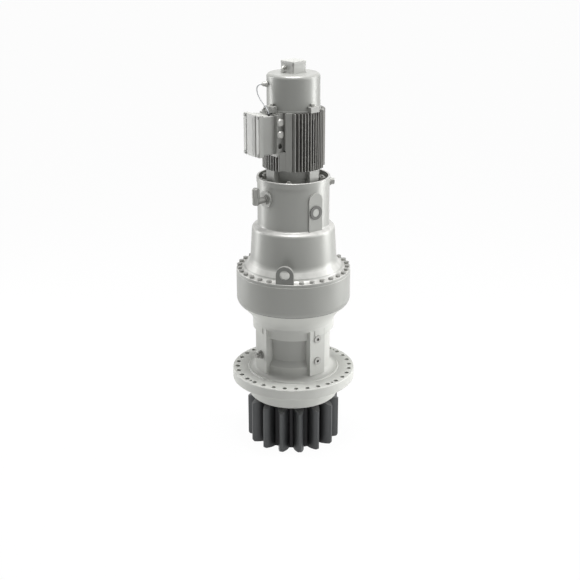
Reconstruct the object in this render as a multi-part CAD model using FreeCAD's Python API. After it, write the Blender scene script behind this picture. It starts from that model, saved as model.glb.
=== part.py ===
import FreeCAD, Part
import os
from math import acos, ceil, cos, hypot, pi, radians, sin, sqrt, tan
from FreeCAD import Placement, Rotation, Vector

# Yaw drive: a brake motor on a three-stage planetary gearbox with an output pinion.
# Millimetres. The origin is the centre of the mounting flange's underside, +Z runs up to the motor.

# Fits
running_gap = 0.06
face_gap = 0.3
flank_gap = 0.16
gear_pressure = radians(25)

# Mounting flange and spigot
flange_r = 237.5
flange_thick = 40
flange_edge = 2.5
flange_bolt_count = 32
flange_bolt_margin = 18.5
flange_bolt_pcd = 2 * (flange_r - flange_bolt_margin)
flange_bolt_hole_r = 8.75
jack_hole_count = 4
jack_hole_r = 5.1
spigot_r = 172
spigot_depth = 67
land_r = 174
land_step = 3

# Clocking about the axis: the castings stand half a flange hole from the jacking holes
case_clock = -360 / flange_bolt_count / 2
corner_clock = case_clock + 45

# Hub of the mounting housing
hub_r = 142
hub_foot_fillet = 27
hub_neck_z = 200
collar_r = 156.5
collar_low_z = 216
collar_high_z = 247
flare_middle_r = 180
flare_middle_z = 288
case_lip_r = 210.5
case_lip_z = 320
case_floor_z = 276
case_floor_inner_r = 134
case_floor_outer_r = 164
case_funnel_z = 280
hub_cavity_r = 106
pad_face = 153.5
pad_width = 68.5
pad_low_z = 56
pad_high_z = 240
window_low_z = 111
window_high_z = 199
window_floor_r = 127
window_angle = 62
window_slope = 1.5
relief_high_z = 237

# Output shaft, bearings and seal
lower_seat_r = 140
lower_seat_top_z = 8
lower_bearing_width = 58
lower_shaft_r = 82
upper_seat_r = 114
upper_seat_low_z = 192
upper_bearing_width = 46
upper_shaft_r = 70
middle_shaft_r = 76
seal_shaft_r = 88
seal_outer_r = 104
seal_carrier_thick = 14
roller_count = 14
race_slope = 0.16
spline_r = 62
shaft_end_z = 316

# Output pinion
pinion_module = 20
pinion_teeth = 15
pinion_shift = 0.5
pinion_pressure = radians(20)
pinion_face = 178
pinion_below_spigot = 10
pinion_chamfer = 4
pinion_bevel = 26
pinion_bevel_height = 14
pinion_root_fillet = 8
pinion_hub_r = 126
pinion_hub_height = 6
pinion_recess_r = 60
pinion_clock = -3.6

# Ring gear case
ring_case_r = 217
ring_case_low_z = 336
ring_case_top_z = 440
ring_case_floor = 16
ring_case_web = 9
ring_case_rim = 27
ring_case_bore_r = ring_case_r - ring_case_rim
joint_screw_count = 12
joint_screw_r = 147

# Bell housing
bell_flange_thick = 12
bell_foot_margin = 22
bell_foot_r = ring_case_r - bell_foot_margin
bell_cone_low_r = 163
bell_cone_low_z = 500
bell_cone_high_r = 155.5
bell_neck_r = 134.5
bell_neck_z = 626
bell_shoulder_fillet = 20
bell_wall = 11
rim_z = 808
rim_lip = 20
rim_lip_proud = 2.4
bowl_r = 129
bowl_floor_z = 775
bowl_floor_thick = 18
bell_bolt_positions = 32
bell_bolt_margin = 11
bell_bolt_r = ring_case_r - bell_bolt_margin
bell_bolt_size = 12
bell_bolt_across = 17
bell_bolt_head = 8
bell_bolt_length = 34

# Lifting lugs
lug_width = 65
lug_thick = 15
lug_margin = 4
lug_face = ring_case_r - lug_margin
lug_hole_r = 18.5
lug_hole_height = 35

# Planetary stages, output stage first
planet_count = 3
tooth_margin = 4
carrier_gap = 4
output_module = 7
output_ring_teeth = 51
output_sun_teeth = 15
output_planet_teeth = 18
output_gear_z = 326
output_gear_face = 84
output_pin_r = 24
output_carrier_low = 20
output_carrier_high = 14
middle_module = 5
middle_ring_teeth = 48
middle_sun_teeth = 12
middle_planet_teeth = 18
middle_gear_z = 482
middle_gear_face = 60
middle_pin_r = 16
middle_ring_r = 143
input_module = 4
input_ring_teeth = 54
input_sun_teeth = 12
input_planet_teeth = 21
input_gear_z = 652
input_gear_face = 38
input_pin_r = 13
input_ring_r = 122
stage_carrier_plate = 16
output_sun_shaft_r = 36
middle_sun_shaft_r = 22

# Bosses and fittings on the bell
boss_face = 137.5
boss_width = 60
boss_top_z = 768
boss_angle = 270 + case_clock
glass_z = 695
glass_r = 15
glass_thread_r = 21
glass_ring_r = 26
glass_ring_thick = 3.5
elbow_angle = 180
elbow_z = 740
elbow_boss_face = 139
elbow_boss_r = 31
elbow_reach = 44
pipe_r = 12
pipe_thread_r = 13
thread_depth = 12
cap_r = 14
cap_low = 16
cap_high = 50
cap_flutes = 10
filler_angle = 326
filler_z = 780
filler_boss_face = 137
filler_boss_r = 17
filler_across = 22

# Plugs and the drain fitting on the hub's pads
plug_r = 13
plug_head_r = 15
plug_head = 4
plug_socket = 10
plug_spot_r = 17
level_plug_z = 201
drain_plug_z = 112
drain_fitting_z = 124
drain_fitting_across = 24

# Motor: flange and lower end shield
motor_flange_r = 125
motor_flange_thick = 17
motor_spigot_r = 90
motor_spigot_depth = 12
motor_bolt_r = 107.5
motor_bolt_size = 12
motor_bolt_across = 21
motor_stud_proud = 19
shield_r = 94
leg_r = 113
leg_width = 44

# Motor: finned frame
frame_low_z = 845
frame_high_z = 1056
frame_bore_r = 82
frame_core_r = 90
frame_envelope_r = 115
fin_pitch = 11.2
fins_per_side = 12
fin_base = 4.8
fin_tip = 3.4
column_width = 24
column_r = 109
tie_bolt_r = 105
tie_bolt_size = 8
tie_boss_r = 111
tie_boss_width = 22
tie_boss_height = 26

# Motor: electrical parts and rotor
shaft_r = 20
bearing_r = 45
bearing_width = 23
bearing_rib = 8
stator_bore_r = 52.6
stator_length = 124
rotor_gap = 0.6
winding_reach = 26

# Terminal box on the frame
box_face = 181
box_lid_thick = 24
box_low_z = 903
box_high_z = 1053
box_width = 98
box_shift = 9
box_body_inset = 4
box_corner = 5
box_rib_count = 7
box_rib = 2.4
frame_pad_face = 112
frame_pad_width = 106
frame_pad_high_z = 1050
box_screw_r = 3.5
entry_radius = 97
entry_heights = (1023, 980, 938)
entry_thread_r = 10
entry_depth = 14
entry_plug_r = 14.5
entry_plug_head = 7

# Brake end shield, brake and cover
shield_thick = 20
shield_foot_r = 100
shield_foot = 5
shield_lug_r = 116
shield_lug_width = 40
cover_r = 97
cover_wall = 3
cover_top_z = 1185
cover_edge = 13
brake_shaft_r = 14
brake_disc_r = 70
brake_disc_thick = 10
armature_r = 84
armature_thick = 8
magnet_r = 84
magnet_gap = 0.6
magnet_height = 44
guide_pin_r = 5
guide_pin_circle_r = 77
guide_pin_count = 3

# Small box on top of the cover
top_box_x = 63
top_box_y = 69
top_box_top_z = 1228
top_box_lid = 9
top_box_foot = 3
top_box_corner = 5
top_gland_z = 1204
top_gland_y = 9

# Brake cable: gland on the cover, grommet on the terminal box
cable_r = 2.1
gland_angle = 155
gland_z = 1148
gland_across = 18
gland_length = 21
grommet_x = -123.5
grommet_y = -7.5
grommet_r = 6
grommet_top_z = 1053
cable_route = [
    (-105.6, 49.2, 1148.0), (-112.9, 52.7, 1147.7), (-118.3, 55.1, 1144.7), (-122.1, 56.9, 1139.6),
    (-123.6, 57.4, 1133.2), (-125.0, 54.5, 1122.0), (-125.6, 46.5, 1108.5), (-124.8, 35.5, 1095.5),
    (-123.8, 23.5, 1084.0), (-123.0, 12.0, 1074.5), (-123.0, 2.5, 1066.5), (-123.2, -4.0, 1059.5),
    (-123.5, -7.3, 1052.0),
]


# Shape helpers
def at_angle(shape, angle):
    turned = shape.copy()
    turned.rotate(Vector(0, 0, 0), Vector(0, 0, 1), angle)
    return turned


def around(shape, count, start=0.0):
    return [at_angle(shape, start + 360.0 * i / count) for i in range(count)]


def moved(shape, x, y, z):
    copy = shape.copy()
    copy.translate(Vector(x, y, z))
    return copy


def outward(solid):
    if solid.Volume < 0:
        solid.reverse()
    return solid


def profile_face(start, steps, lift):
    """Face inside a 2-D path: a point ends a straight run, a pair of points is an arc through the first."""
    edges = []
    here = start
    for step in list(steps) + [start]:
        if isinstance(step[0], tuple):
            edges.append(Part.Arc(lift(here), lift(step[0]), lift(step[1])).toShape())
            here = step[1]
        elif hypot(step[0] - here[0], step[1] - here[1]) > 1e-7:
            edges.append(Part.LineSegment(lift(here), lift(step)).toShape())
            here = step
    return Part.Face(Part.Wire(edges))


def revolved(start, *steps):
    """Solid of revolution about Z from a closed path of (radius, height) points."""
    face = profile_face(start, steps, lambda p: Vector(p[0], 0, p[1]))
    return outward(face.revolve(Vector(0, 0, 0), Vector(0, 0, 1), 360))


def plate(x, thick, start, *steps):
    """Flat plate facing +X, from a closed path of (y, z) points."""
    face = profile_face(start, steps, lambda p: Vector(x, p[0], p[1]))
    return outward(face.extrude(Vector(thick, 0, 0)))


def prism(points, low, high):
    face = profile_face(points[0], points[1:], lambda p: Vector(p[0], p[1], low))
    return outward(face.extrude(Vector(0, 0, high - low)))


def ring(inner, outer, low, high):
    return revolved((inner, low), (outer, low), (outer, high), (inner, high))


def cylinder(radius, low, high, x=0.0, y=0.0):
    return Part.makeCylinder(radius, high - low, Vector(x, y, low))


def block(x0, x1, y0, y1, z0, z1):
    return Part.makeBox(x1 - x0, y1 - y0, z1 - z0, Vector(x0, y0, z0))


def hexagon(across, low, high):
    corner = across / 2 / cos(pi / 6)
    return prism([(corner * cos(i * pi / 3), corner * sin(i * pi / 3)) for i in range(6)], low, high)


def on_side(shape, angle, radius, height):
    """Lays a shape that points along +Z so that it points outward at an angle, from a radius."""
    laid = shape.copy()
    laid.rotate(Vector(0, 0, 0), Vector(0, 1, 0), 90)
    return at_angle(moved(laid, radius, 0, height), angle)


def rounded(before, corner, after, radius):
    """Two path steps that round a corner: up to the arc's start, and the arc."""
    def unit(end):
        size = hypot(end[0] - corner[0], end[1] - corner[1])
        return ((end[0] - corner[0]) / size, (end[1] - corner[1]) / size)

    back = unit(before)
    ahead = unit(after)
    half = acos(back[0] * ahead[0] + back[1] * ahead[1]) / 2
    reach = radius / tan(half)
    way = (back[0] + ahead[0], back[1] + ahead[1])
    inward = (radius / sin(half) - radius) / hypot(*way)
    start = (corner[0] + back[0] * reach, corner[1] + back[1] * reach)
    end = (corner[0] + ahead[0] * reach, corner[1] + ahead[1] * reach)
    return start, ((corner[0] + way[0] * inward, corner[1] + way[1] * inward), end)


def round_box(x0, x1, y0, y1, z0, z1, corner):
    """Box with its four upright edges rounded."""
    body = block(x0, x1, y0, y1, z0, z1)
    upright = [e for e in body.Edges if abs(e.tangentAt(e.FirstParameter).z) > 0.9]
    return body.makeFillet(corner, upright)


# Gear teeth
def involute(angle):
    return tan(angle) - angle


def half_tooth(radius, pitch_r, teeth, pressure, shift=0.0):
    """Half of a tooth's angle at a radius."""
    local = acos(min(1.0, pitch_r * cos(pressure) / radius))
    return (pi / 2 + 2 * shift * tan(pressure)) / teeth + involute(pressure) - involute(local)


def outer_gear(module, teeth, low, high, clock):
    """External gear with a tooth centred on the clock angle, in degrees."""
    pitch_r = module * teeth / 2
    root_r = pitch_r - 1.25 * module
    base_r = max(root_r, pitch_r * cos(gear_pressure))
    flank = [(root_r, half_tooth(base_r, pitch_r, teeth, gear_pressure))]
    flank += [(r, half_tooth(r, pitch_r, teeth, gear_pressure)) for r in (pitch_r, pitch_r + module)]
    points = []
    for i in range(teeth):
        centre = radians(clock) + 2 * pi * i / teeth
        points += [(r, centre - half + flank_gap / pitch_r) for r, half in flank]
        points += [(r, centre + half - flank_gap / pitch_r) for r, half in reversed(flank)]
    return prism([(r * cos(a), r * sin(a)) for r, a in points], low, high)


def ring_gear_space(module, teeth, planet_teeth, low, high):
    """The space inside a ring gear: planets with an even tooth count need a gap at angle zero."""
    pitch_r = module * teeth / 2
    clock = pi / teeth if planet_teeth % 2 == 0 else 0.0
    points = []
    for i in range(teeth):
        centre = clock + 2 * pi * i / teeth
        flank = (pitch_r + 1.25 * module, pitch_r, pitch_r - module)
        for radius, side in [(r, -1) for r in flank] + [(r, 1) for r in reversed(flank)]:
            local = acos(pitch_r * cos(gear_pressure) / radius)
            half = pi / 2 / teeth + involute(local) - involute(gear_pressure) - flank_gap / pitch_r
            points.append((radius * cos(centre + side * half), radius * sin(centre + side * half)))
    return prism(points, low, high)


def planet_places(module, sun_teeth, planet_teeth):
    """Centre and turn of each planet so that it meshes with its sun and ring."""
    distance = module * (sun_teeth + planet_teeth) / 2
    places = []
    for i in range(planet_count):
        angle = 360.0 * i / planet_count
        turn = 180 + angle + angle * sun_teeth / planet_teeth
        places.append((distance * cos(radians(angle)), distance * sin(radians(angle)), turn))
    return places


def planet(module, teeth, low, face, pin_r, place):
    wheel = outer_gear(module, teeth, low, low + face, place[2])
    wheel = wheel.cut(cylinder(pin_r + running_gap, low - 1, low + face + 1))
    return moved(wheel, place[0], place[1], 0)


def sun_shaft(module, teeth, low, face, shaft_radius, top):
    """Sun gear with a gap at angle zero, on a shaft that runs up."""
    gear = outer_gear(module, teeth, low, low + face, 180.0 / teeth)
    return gear.fuse(cylinder(shaft_radius, low + face - 1, top)).removeSplitter()


def pressed_ring_gear(module, teeth, planet_teeth, low, face, outer_r):
    body = cylinder(outer_r, low - tooth_margin, low + face + tooth_margin)
    return body.cut(ring_gear_space(module, teeth, planet_teeth, low - 2 * tooth_margin,
                                    low + face + 2 * tooth_margin))


def stage_carrier(module, sun_teeth, planet_teeth, low, pin_r, face, hub_bore_r):
    """One-piece carrier under its planets: a plate with three stub pins."""
    top = low - carrier_gap
    distance = module * (sun_teeth + planet_teeth) / 2
    parts = []
    for x, y, turn in planet_places(module, sun_teeth, planet_teeth):
        parts.append(cylinder(pin_r, top - 1, low + face, x, y))
        parts.append(cylinder(pin_r + 4, top - 1, low - face_gap, x, y))
    body = ring(hub_bore_r, distance + pin_r + 7, top - stage_carrier_plate, top)
    return body.fuse(parts)


# Mounting housing: flange, spigot, and a hub with pads, windows and bearing seats
def plug_places():
    """Angle and height of each threaded hole in the hub's pads."""
    return [(270 + case_clock, level_plug_z), (270 + case_clock, drain_plug_z),
            (180 + case_clock, drain_fitting_z)]


def hub_windows():
    """Front and back: a recess with a sloped lower ledge, and a relief that undercuts the collar above it."""
    reach = collar_r + 2
    recess = revolved((window_floor_r, window_low_z),
                      (reach, window_low_z - window_slope * (reach - window_floor_r)),
                      (reach, window_high_z), (window_floor_r, window_high_z))
    relief = ring(hub_r, reach, window_high_z, relief_high_z)
    tools = []
    for body, half in ((recess, window_angle / 2), (relief, 40)):
        side = (2 * reach * cos(radians(half)), 2 * reach * sin(radians(half)))
        wedge = prism([(0, 0), (side[0], -side[1]), side], -spigot_depth, case_floor_z)
        tools += around(body.common(wedge), 2, corner_clock)
    return tools


def case_funnel_r(height):
    """Radius of the housing's 45-degree funnel, which takes the ring gear case."""
    return case_floor_outer_r + height - case_funnel_z


def mounting_housing():
    land_z = flange_thick + land_step
    foot = rounded((land_r, land_z), (hub_r, land_z), (hub_r, hub_neck_z), hub_foot_fillet)
    body = revolved(
        (lower_seat_r, -spigot_depth),
        (spigot_r - flange_edge, -spigot_depth),
        (spigot_r, -spigot_depth + flange_edge),
        (spigot_r, 0),
        (flange_r - flange_edge, 0),
        (flange_r, flange_edge),
        (flange_r, flange_thick - flange_edge),
        (flange_r - flange_edge, flange_thick),
        (land_r + land_step, flange_thick),
        (land_r, land_z),
        *foot,
        (hub_r, hub_neck_z),
        (collar_r, collar_low_z),
        (collar_r, collar_high_z),
        ((collar_r + 7.5, collar_high_z + 20), (flare_middle_r, flare_middle_z)),
        (case_lip_r - 7.5, case_lip_z - 9.5),
        ((case_lip_r - 2.8, case_lip_z - 4.8), (case_lip_r, case_lip_z)),
        (case_funnel_r(case_lip_z - 8), case_lip_z),
        (case_funnel_r(case_lip_z - 8), case_lip_z - 8),
        (case_floor_outer_r, case_funnel_z),
        (case_floor_outer_r, case_floor_z),
        (case_floor_inner_r, case_floor_z),
        (case_floor_inner_r, upper_seat_low_z + upper_bearing_width + 6),
        (upper_seat_r, upper_seat_low_z + upper_bearing_width),
        (upper_seat_r, upper_seat_low_z),
        (hub_cavity_r, upper_seat_low_z),
        (hub_cavity_r, lower_seat_top_z),
        (lower_seat_r, lower_seat_top_z),
    )
    body = body.cut(hub_windows())
    pad = block(window_floor_r - 4, pad_face, -pad_width / 2, pad_width / 2, pad_low_z, pad_high_z)
    body = body.fuse(around(pad, 4, case_clock))
    bolt_hole = cylinder(flange_bolt_hole_r, -1, flange_thick + 1, flange_bolt_pcd / 2)
    holes = around(bolt_hole, flange_bolt_count, 180 / flange_bolt_count)
    holes += around(cylinder(jack_hole_r, -1, flange_thick + 1, flange_bolt_pcd / 2), jack_hole_count)
    for angle, height in plug_places():
        holes.append(on_side(cylinder(plug_r, -thread_depth, 1), angle, pad_face, height))
        holes.append(on_side(cylinder(plug_spot_r, 0, 20), angle, pad_face, height))
    return body.cut(holes)


def oil_plugs():
    body = cylinder(plug_r, -thread_depth, 0).fuse(cylinder(plug_head_r, 0, plug_head))
    body = body.cut(hexagon(plug_socket, -6, plug_head + 1))
    return Part.Compound([on_side(body, a, pad_face, z) for a, z in plug_places()[:2]])


def drain_fitting():
    angle, height = plug_places()[2]
    body = revolved((0, -thread_depth), (plug_r, -thread_depth), (plug_r, 0), (17, 0), (17, 4), (8, 4), (8, 24),
                    (0, 24))
    return on_side(body.fuse(hexagon(drain_fitting_across, 4, 14)), angle, pad_face, height)


# Taper roller bearings of the output shaft: cup, cone and rollers
def taper_bearing(bore_r, outer_r, low, width, opens_up):
    middle_r = (bore_r + outer_r) / 2
    roller_r = (outer_r - bore_r) * 0.2
    way = 1 if opens_up else -1
    high = low + width

    def race(radius, z):
        return (radius + way * race_slope * (z - low - width / 2), z)

    cup = revolved((outer_r, low), (outer_r, high), race(middle_r + roller_r, high), race(middle_r + roller_r, low))
    cone = revolved((bore_r, low), race(middle_r - roller_r, low), race(middle_r - roller_r, high), (bore_r, high))
    margin = width * 0.12
    foot = race(middle_r, low + margin)
    head = race(middle_r, high - margin)
    lean = Vector(head[0] - foot[0], 0, head[1] - foot[1])
    roller = Part.makeCylinder(roller_r * cos(race_slope) - face_gap, lean.Length)
    roller.Placement = Placement(Vector(foot[0], 0, foot[1]), Rotation(Vector(0, 0, 1), lean))
    return cup, Part.Compound([cone] + around(roller, roller_count))


def seal_carrier():
    low = -spigot_depth
    high = lower_seat_top_z - lower_bearing_width
    return revolved((seal_outer_r, low), (lower_seat_r, low), (lower_seat_r, high), (lower_seat_r - 12, high),
                    (lower_seat_r - 12, low + seal_carrier_thick - 4), (seal_outer_r, low + seal_carrier_thick - 4))


def shaft_seal():
    low = -spigot_depth
    high = low + seal_carrier_thick - 4
    inner = seal_shaft_r + face_gap
    return revolved((inner, low + 4), (inner + 4, low), (seal_outer_r, low), (seal_outer_r, high),
                    (seal_outer_r - 4, high), (seal_outer_r - 4, low + 3), (inner + 4, low + 6), (inner, low + 8))


# Pinion and output shaft in one forging
def pinion_teeth_solid(low, high):
    pitch_r = pinion_module * pinion_teeth / 2
    tip_r = pitch_r + pinion_module * (1 + pinion_shift)
    root_r = pitch_r - pinion_module * (1.25 - pinion_shift)
    start_r = root_r + pinion_root_fillet
    halves = [(r, half_tooth(r, pitch_r, pinion_teeth, pinion_pressure, pinion_shift))
              for r in (start_r, (start_r + tip_r) / 2, tip_r)]
    foot_half = halves[0][1] + 0.5 * pinion_root_fillet / root_r
    bend = (root_r + 0.25 * pinion_root_fillet, halves[0][1] + 0.16 * pinion_root_fillet / root_r)
    path = []
    for i in range(pinion_teeth):
        centre = radians(pinion_clock) + 2 * pi * i / pinion_teeth

        def spot(radius, angle):
            return (radius * cos(centre + angle), radius * sin(centre + angle))

        left = [spot(r, -half) for r, half in halves]
        right = [spot(r, half) for r, half in halves]
        path.append(spot(root_r, -foot_half))
        path.append((spot(bend[0], -bend[1]), left[0]))
        path.append((left[1], left[2]))
        path.append(right[2])
        path.append((right[1], right[0]))
        path.append((spot(*bend), spot(root_r, foot_half)))
    start = path.pop(0)
    face = profile_face(start, path, lambda p: Vector(p[0], p[1], low))
    teeth = face.extrude(Vector(0, 0, high - low))
    edge = pinion_chamfer
    envelope = revolved((0, low), (tip_r - edge, low), (tip_r + 1, low + 2 * edge),
                        (tip_r + 1, high - pinion_bevel_height), (tip_r - pinion_bevel, high), (0, high))
    return teeth.common(envelope)


def pinion_shaft():
    top = -spigot_depth - pinion_below_spigot
    low = top - pinion_face
    shaft = revolved(
        (0, top - 20),
        (pinion_hub_r, top - 20),
        (pinion_hub_r, top + pinion_hub_height),
        (seal_shaft_r, top + pinion_hub_height),
        (seal_shaft_r, lower_seat_top_z - lower_bearing_width),
        (lower_shaft_r, lower_seat_top_z - lower_bearing_width),
        (lower_shaft_r, lower_seat_top_z + 14),
        (middle_shaft_r, lower_seat_top_z + 40),
        (middle_shaft_r, upper_seat_low_z),
        (upper_shaft_r, upper_seat_low_z),
        (upper_shaft_r, upper_seat_low_z + upper_bearing_width + 8),
        (spline_r, upper_seat_low_z + upper_bearing_width + 8),
        (spline_r, shaft_end_z),
        (0, shaft_end_z),
    )
    recess = revolved((0, low - 1), (pinion_recess_r + 5, low - 1), (pinion_recess_r, low + 9), (14, low + 9),
                      (14, low + 30), (0, low + 38))
    return pinion_teeth_solid(low, top).fuse(shaft).cut(recess).removeSplitter()


# Ring gear case with the output stage's teeth, screwed to the housing from inside
def ring_case():
    floor = case_floor_z
    tip_r = output_module * (output_ring_teeth / 2 - 1)
    root_r = tip_r + 10
    gear_low = output_gear_z - tooth_margin
    gear_high = output_gear_z + output_gear_face + tooth_margin
    fit = face_gap * sqrt(2)
    seat_r = case_funnel_r(case_lip_z - 8) - fit
    web_r = case_floor_outer_r + floor + ring_case_floor - case_funnel_z - ring_case_web * sqrt(2)
    body = revolved(
        (case_floor_inner_r, floor),
        (case_floor_outer_r - fit, floor),
        (case_floor_outer_r - fit, case_funnel_z),
        (seat_r, case_lip_z - 8),
        (seat_r, case_lip_z),
        (case_lip_r + 1, case_lip_z),
        ((ring_case_r - 1.7, (case_lip_z + ring_case_low_z) / 2), (ring_case_r, ring_case_low_z)),
        (ring_case_r, ring_case_top_z - 1.5),
        (ring_case_r - 1.5, ring_case_top_z),
        (ring_case_bore_r, ring_case_top_z),
        (ring_case_bore_r, gear_high),
        (tip_r - 1, gear_high),
        (tip_r - 1, gear_low),
        (root_r, gear_low),
        (root_r, floor + ring_case_floor + root_r - web_r),
        (web_r, floor + ring_case_floor),
        (case_floor_inner_r, floor + ring_case_floor),
    )
    return body.cut(ring_gear_space(output_module, output_ring_teeth, output_planet_teeth,
                                    gear_low - 1, gear_high + 1))


def joint_screws():
    head = case_floor_z + ring_case_floor
    screw = hexagon(18, head, head + 8).fuse(cylinder(6, case_floor_z - 18, head))
    return Part.Compound(around(moved(screw, joint_screw_r, 0, 0), joint_screw_count, 15))


# Bell housing with seats for two ring gears and a bowl for the motor's foot
def bell_housing():
    base = ring_case_top_z
    top = base + bell_flange_thick
    middle_top = middle_gear_z + middle_gear_face + tooth_margin
    input_top = input_gear_z + input_gear_face + tooth_margin
    floor_low = bowl_floor_z - bowl_floor_thick
    shoulder = rounded((bell_cone_low_r, bell_cone_low_z), (bell_cone_high_r, bell_neck_z - 10),
                       (bell_neck_r, bell_neck_z), bell_shoulder_fillet * 0.7)
    neck = rounded((bell_cone_high_r, bell_neck_z - 10), (bell_neck_r, bell_neck_z),
                   (bell_neck_r, rim_z), 6)
    body = revolved(
        (ring_case_bore_r, base),
        (ring_case_r - 0.6, base),
        (ring_case_r - 0.6, top - 1.5),
        (ring_case_r - 2.1, top),
        (bell_foot_r, top),
        ((bell_foot_r - 6, top + 3), (bell_foot_r - 11, top + 11)),
        (bell_cone_low_r + 6, bell_cone_low_z - 18),
        ((bell_cone_low_r + 1.6, bell_cone_low_z - 9), (bell_cone_low_r, bell_cone_low_z)),
        *shoulder,
        *neck,
        (bell_neck_r, rim_z - rim_lip),
        (bell_neck_r + rim_lip_proud, rim_z - rim_lip),
        (bell_neck_r + rim_lip_proud, rim_z - 1),
        (bell_neck_r + rim_lip_proud - 1, rim_z),
        (bowl_r, rim_z),
        (bowl_r, bowl_floor_z),
        (motor_spigot_r, bowl_floor_z),
        (motor_spigot_r, floor_low),
        (input_ring_r - 8, floor_low - 16),
        (input_ring_r - 8, input_top),
        (input_ring_r, input_top),
        (input_ring_r, bell_neck_z - 6),
        (middle_ring_r - 9, bell_neck_z - 26),
        (middle_ring_r - 9, middle_top),
        (middle_ring_r, middle_top),
        (middle_ring_r, middle_gear_z - tooth_margin - 4),
        (ring_case_bore_r - bell_wall, top + 4),
        (ring_case_bore_r, top),
    )
    body = body.fuse([obround_boss(),
                      on_side(cylinder(elbow_boss_r, -bell_wall, 0), elbow_angle, elbow_boss_face, elbow_z),
                      on_side(cylinder(filler_boss_r, -bell_wall, 0), filler_angle, filler_boss_face, filler_z)])
    cuts = [on_side(cylinder(glass_thread_r, -thread_depth, 20), boss_angle, boss_face, glass_z),
            on_side(cylinder(pipe_thread_r, -thread_depth, 20), elbow_angle, elbow_boss_face, elbow_z),
            on_side(cylinder(pipe_thread_r, -thread_depth, 20), filler_angle, filler_boss_face, filler_z)]
    return body.cut(cuts)


def obround_boss():
    half = boss_width / 2
    low = bell_neck_z - 14
    arch_z = boss_top_z - half
    body = plate(boss_face - bell_wall, bell_wall, (-half, low), (half, low), (half, arch_z),
                 ((0, boss_top_z), (-half, arch_z)))
    return at_angle(body, boss_angle)


def sight_glass_ring():
    body = ring(glass_r, glass_thread_r, -thread_depth, 0).fuse(ring(glass_r, glass_ring_r, 0, glass_ring_thick))
    return on_side(body.removeSplitter(), boss_angle, boss_face, glass_z)


def sight_glass():
    return on_side(cylinder(glass_r, -thread_depth, glass_ring_thick - 1.5), boss_angle, boss_face, glass_z)


def elbow_axis():
    reach = elbow_boss_face + elbow_reach
    return reach * cos(radians(elbow_angle)), reach * sin(radians(elbow_angle))


def breather_elbow():
    stub = revolved((0, -thread_depth), (pipe_thread_r, -thread_depth), (pipe_thread_r, 0), (17, 0), (17, 6),
                    (pipe_r, 6), (pipe_r, elbow_reach), (0, elbow_reach))
    x, y = elbow_axis()
    upright = revolved((0, elbow_z - pipe_r - 1), (pipe_r - 2, elbow_z - pipe_r - 1), (pipe_r + 1, elbow_z - pipe_r + 2),
                       (pipe_r + 1, elbow_z + cap_low), (0, elbow_z + cap_low))
    return on_side(stub, elbow_angle, elbow_boss_face, elbow_z).fuse(moved(upright, x, y, 0)).removeSplitter()


def breather_cap():
    x, y = elbow_axis()
    points = []
    for i in range(2 * cap_flutes):
        radius = cap_r if i % 2 == 0 else cap_r - 1.5
        points.append((radius * cos(i * pi / cap_flutes), radius * sin(i * pi / cap_flutes)))
    body = prism(points, elbow_z + cap_low, elbow_z + cap_high - 4)
    dome = revolved((0, elbow_z + cap_high - 4), (cap_r - 2, elbow_z + cap_high - 4), (cap_r - 5, elbow_z + cap_high),
                    (0, elbow_z + cap_high))
    return moved(body.fuse(dome), x, y, 0)


def oil_filler_plug():
    body = revolved((0, -thread_depth), (pipe_thread_r, -thread_depth), (pipe_thread_r, 0), (15, 0), (15, 4), (0, 4))
    return on_side(body.fuse(hexagon(filler_across, 4, 16)), filler_angle, filler_boss_face, filler_z)


def bell_bolts():
    seat = ring_case_top_z + bell_flange_thick
    bolt = hexagon(bell_bolt_across, seat, seat + bell_bolt_head).fuse(
        cylinder(bell_bolt_size / 2, seat - bell_bolt_length, seat))
    step = 360 / bell_bolt_positions
    half = bell_bolt_positions // 2
    under_lugs = (0, 1, half, half + 1)
    first = corner_clock - step / 2
    bolt = moved(bolt, bell_bolt_r, 0, 0)
    return Part.Compound([at_angle(bolt, first + i * step) for i in range(bell_bolt_positions)
                          if i not in under_lugs])


def lifting_lugs():
    foot = ring_case_top_z + bell_flange_thick
    half = lug_width / 2
    eye_z = foot + lug_hole_height
    body = plate(lug_face - lug_thick, lug_thick, (-half, foot), (half, foot), (half, eye_z),
                 ((0, eye_z + half), (-half, eye_z)))
    body = body.cut(on_side(cylinder(lug_hole_r, -2 * lug_thick, lug_thick), 0, lug_face, eye_z))
    return Part.Compound(around(body, 2, corner_clock))


# Output stage carrier, a cage with a plate on each side of its planets
def output_carrier_heights():
    low = output_gear_z - carrier_gap - output_carrier_low
    high = output_gear_z + output_gear_face + carrier_gap + output_carrier_high
    return low, high


def output_places():
    return planet_places(output_module, output_sun_teeth, output_planet_teeth)


def output_carrier():
    low, high = output_carrier_heights()
    distance = output_module * (output_sun_teeth + output_planet_teeth) / 2
    rim = distance + output_pin_r + 10
    sun_room = output_module * (output_sun_teeth / 2 + 1) + 4
    pocket_r = output_module * (output_planet_teeth / 2 + 1) + 3
    body = revolved((spline_r, low - 8), (spline_r + 20, low - 8), (spline_r + 20, low), (rim, low), (rim, high),
                    (sun_room, high), (sun_room, shaft_end_z + 2), (spline_r, shaft_end_z + 2))
    cuts = []
    for x, y, turn in output_places():
        cuts.append(cylinder(pocket_r, output_gear_z - carrier_gap, output_gear_z + output_gear_face + carrier_gap,
                             x, y))
        cuts.append(cylinder(output_pin_r, low - 1, high + 1, x, y))
    return body.cut(cuts)


def output_planet_pins():
    low, high = output_carrier_heights()
    return Part.Compound([cylinder(output_pin_r, low, high, x, y) for x, y, turn in output_places()])


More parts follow.
